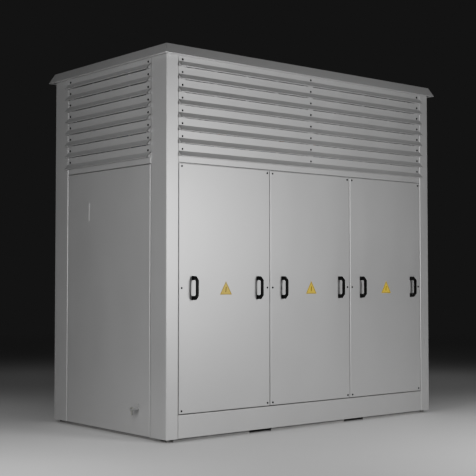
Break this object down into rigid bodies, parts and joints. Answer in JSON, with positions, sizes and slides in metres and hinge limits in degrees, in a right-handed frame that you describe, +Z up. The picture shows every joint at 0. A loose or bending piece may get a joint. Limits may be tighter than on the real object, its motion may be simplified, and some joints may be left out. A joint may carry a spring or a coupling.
{
  "type": "dry-type transformer in a ventilated housing",
  "caption": "Louvred steel housing with lift-off doors and bridge handles around a cast-resin transformer on rollers.",
  "frame": {"origin": "middle of the base, on the floor", "axes": "+X right along the front face, -Y out of the front face, +Z up"},
  "size_m": [2.424, 1.348, 2.3],
  "materials": {
    "housing_paint": "satin light grey powder coat",
    "frame_paint": "matt dark grey paint",
    "handle_plastic": "satin black moulded",
    "black_fastener": "blackened steel",
    "label_film": "plain yellow film",
    "roller_iron": "machined cast iron",
    "zinc_sheet": "galvanised",
    "seal_rubber": "matt",
    "plate_aluminium": "brushed blank plate",
    "core_steel": "varnished laminations",
    "clamp_paint": "satin blue paint",
    "zinc_steel": "zinc plated",
    "lv_foil": "foil under clear resin",
    "hv_resin": "cast epoxy resin",
    "block_resin": "moulded resin blocks",
    "link_sleeve": "tinned copper bar",
    "terminal_brass": "satin brass",
    "busbar_copper": "bare copper bar",
    "insulator_resin": "cast resin"
  },
  "bodies": {
    "housing": {"base_frame": "frame_paint", "front_corner_posts": "housing_paint", "rear_corner_posts": "housing_paint", "top_frame": "frame_paint", "roof": "housing_paint", "front_door_frame": "housing_paint", "rear_door_frame": "housing_paint", "side_frames": "housing_paint", "front_louvre_slats": "housing_paint", "rear_louvre_slats": "housing_paint", "side_louvre_slats": "housing_paint", "louvre_screws": "black_fastener", "vent_screens": "zinc_sheet", "left_side_panel": "housing_paint", "right_side_panel": "housing_paint", "plinth_panels": "housing_paint", "door_seals": "seal_rubber", "gland_plates": "zinc_sheet", "rating_plate": "plate_aluminium", "earth_brackets": "housing_paint", "earth_bolts": "zinc_steel", "roller_rails": "frame_paint", "core": "core_steel", "core_clamps": "clamp_paint", "tie_rods": "zinc_steel", "lv_windings": "lv_foil", "hv_windings": "hv_resin", "winding_blocks": "block_resin", "hv_links": "link_sleeve", "hv_terminals": "terminal_brass", "lv_busbars": "busbar_copper", "busbar_insulators": "insulator_resin", "bogies": "frame_paint", "roller_axles": "zinc_steel"},
    "front_door_left": {"front_panel_left": "housing_paint", "front_handles_left": "handle_plastic", "front_screws_left": "black_fastener", "warning_label_left": "label_film"},
    "front_door_centre": {"front_panel_centre": "housing_paint", "front_handles_centre": "handle_plastic", "front_screws_centre": "black_fastener", "warning_label_centre": "label_film"},
    "front_door_right": {"front_panel_right": "housing_paint", "front_handles_right": "handle_plastic", "front_screws_right": "black_fastener", "warning_label_right": "label_film"},
    "rear_door_left": {"rear_panel_left": "housing_paint", "rear_handles_left": "handle_plastic", "rear_screws_left": "black_fastener"},
    "rear_door_centre": {"rear_panel_centre": "housing_paint", "rear_handles_centre": "handle_plastic", "rear_screws_centre": "black_fastener"},
    "rear_door_right": {"rear_panel_right": "housing_paint", "rear_handles_right": "handle_plastic", "rear_screws_right": "black_fastener"},
    "roller_front_left_body": {"roller_front_left": "roller_iron"},
    "roller_front_right_body": {"roller_front_right": "roller_iron"},
    "roller_rear_left_body": {"roller_rear_left": "roller_iron"},
    "roller_rear_right_body": {"roller_rear_right": "roller_iron"}
  },
  "joints": [
    {"name": "front_door_left_lift_off", "type": "slide", "parent": "housing", "child": "front_door_left", "axis": [0, -1, 0], "range_m": [0, 0.4]},
    {"name": "front_door_centre_lift_off", "type": "slide", "parent": "housing", "child": "front_door_centre", "axis": [0, -1, 0], "range_m": [0, 0.4]},
    {"name": "front_door_right_lift_off", "type": "slide", "parent": "housing", "child": "front_door_right", "axis": [0, -1, 0], "range_m": [0, 0.4]},
    {"name": "rear_door_left_lift_off", "type": "slide", "parent": "housing", "child": "rear_door_left", "axis": [0, 1, 0], "range_m": [0, 0.4]},
    {"name": "rear_door_centre_lift_off", "type": "slide", "parent": "housing", "child": "rear_door_centre", "axis": [0, 1, 0], "range_m": [0, 0.4]},
    {"name": "rear_door_right_lift_off", "type": "slide", "parent": "housing", "child": "rear_door_right", "axis": [0, 1, 0], "range_m": [0, 0.4]},
    {"name": "roller_front_left_spin", "type": "hinge", "parent": "housing", "child": "roller_front_left_body", "pos_m": [-0.41, -0.41, 0.1888], "axis": [0, 1, 0], "continuous": true},
    {"name": "roller_front_right_spin", "type": "hinge", "parent": "housing", "child": "roller_front_right_body", "pos_m": [0.41, -0.41, 0.1888], "axis": [0, 1, 0], "continuous": true},
    {"name": "roller_rear_left_spin", "type": "hinge", "parent": "housing", "child": "roller_rear_left_body", "pos_m": [-0.41, 0.41, 0.1888], "axis": [0, 1, 0], "continuous": true},
    {"name": "roller_rear_right_spin", "type": "hinge", "parent": "housing", "child": "roller_rear_right_body", "pos_m": [0.41, 0.41, 0.1888], "axis": [0, 1, 0], "continuous": true}
  ]
}
